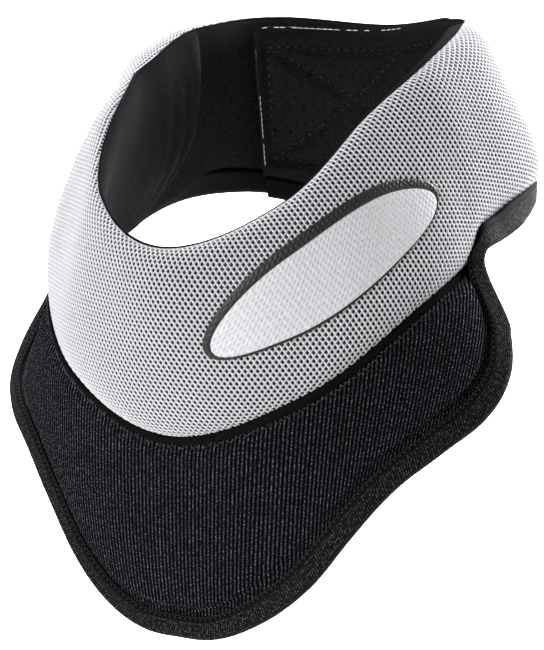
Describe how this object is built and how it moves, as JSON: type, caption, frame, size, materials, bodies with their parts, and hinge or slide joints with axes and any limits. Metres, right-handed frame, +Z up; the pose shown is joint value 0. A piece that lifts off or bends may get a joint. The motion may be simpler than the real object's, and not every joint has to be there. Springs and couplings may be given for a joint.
{
  "type": "hockey neck guard",
  "caption": "Padded hockey neck guard: mesh-faced collar with lapped back ends, perforated lining, ribbed bib with taped edge and an oval badge.",
  "frame": {"origin": "on the neck axis inside the collar, level with the collar's lower edge at the shoulders", "axes": "+Z up the neck, -Y to the front, +X to the wearer's left"},
  "size_m": [0.199, 0.1887, 0.1731],
  "materials": {
    "mesh": "silver open mesh over grey padding",
    "lining": "black perforated lining",
    "hook": "black hook tape",
    "rib_cloth": "black ribbed cloth",
    "tape": "black binding tape",
    "badge_border": "black print",
    "badge_white": "white print"
  },
  "bodies": {
    "root": {"collar_shell": "mesh", "collar_lining": "lining", "hook_patch": "hook", "bib_panel": "rib_cloth", "bib_binding": "tape", "seam_band": "tape", "collar_binding_left": "tape", "collar_binding_right": "tape", "badge_rim": "badge_border", "badge_field": "badge_white"}
  },
  "joints": []
}
